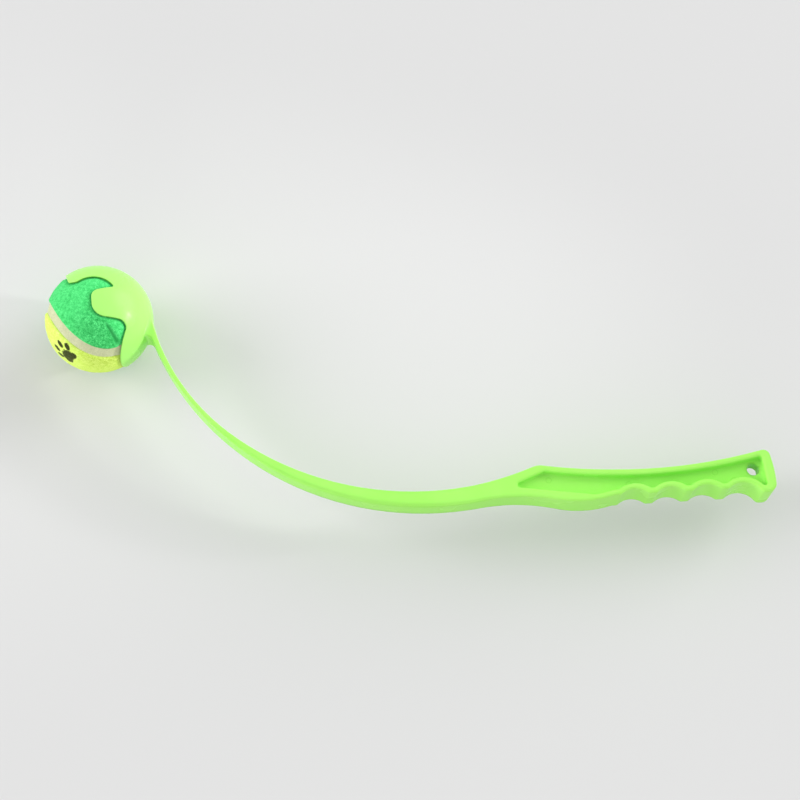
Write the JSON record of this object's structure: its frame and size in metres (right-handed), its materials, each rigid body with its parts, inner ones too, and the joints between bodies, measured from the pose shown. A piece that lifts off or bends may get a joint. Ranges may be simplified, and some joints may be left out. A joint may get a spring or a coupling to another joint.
{
  "type": "tennis ball launcher",
  "caption": "Throwing stick for dogs: a bowed flat shaft with a grooved grip and hang hole at one end and a sprung open cup at the other, holding a felt ball.",
  "frame": {"origin": "centre of the hang hole in the handle, in the mid-plane of the moulding", "axes": "+X out of the butt of the handle, along the launcher; +Y towards the upper edge of the grip, the side the cup stands on; +Z along the hang hole, square to the mid-plane and up when the launcher lies on its side"},
  "size_m": [0.4325, 0.153, 0.066],
  "materials": {
    "launcher_plastic": "satin moulded polypropylene, lime green",
    "ball_rubber": "moulded",
    "seam_rubber": "vulcanised, matt",
    "green_felt": "napped woven felt",
    "yellow_felt": "napped woven felt"
  },
  "bodies": {
    "launcher": {"launcher_body": "launcher_plastic"},
    "ball": {"core_half_front": "ball_rubber", "core_half_back": "ball_rubber", "seam_rubber": "seam_rubber", "felt_panel_green": "green_felt", "felt_panel_yellow": "yellow_felt"}
  },
  "joints": [
    {"name": "ball_release", "type": "slide", "parent": "launcher", "child": "ball", "axis": [-0.8141, -0.5807, 0], "range_m": [0, 0.08]}
  ]
}
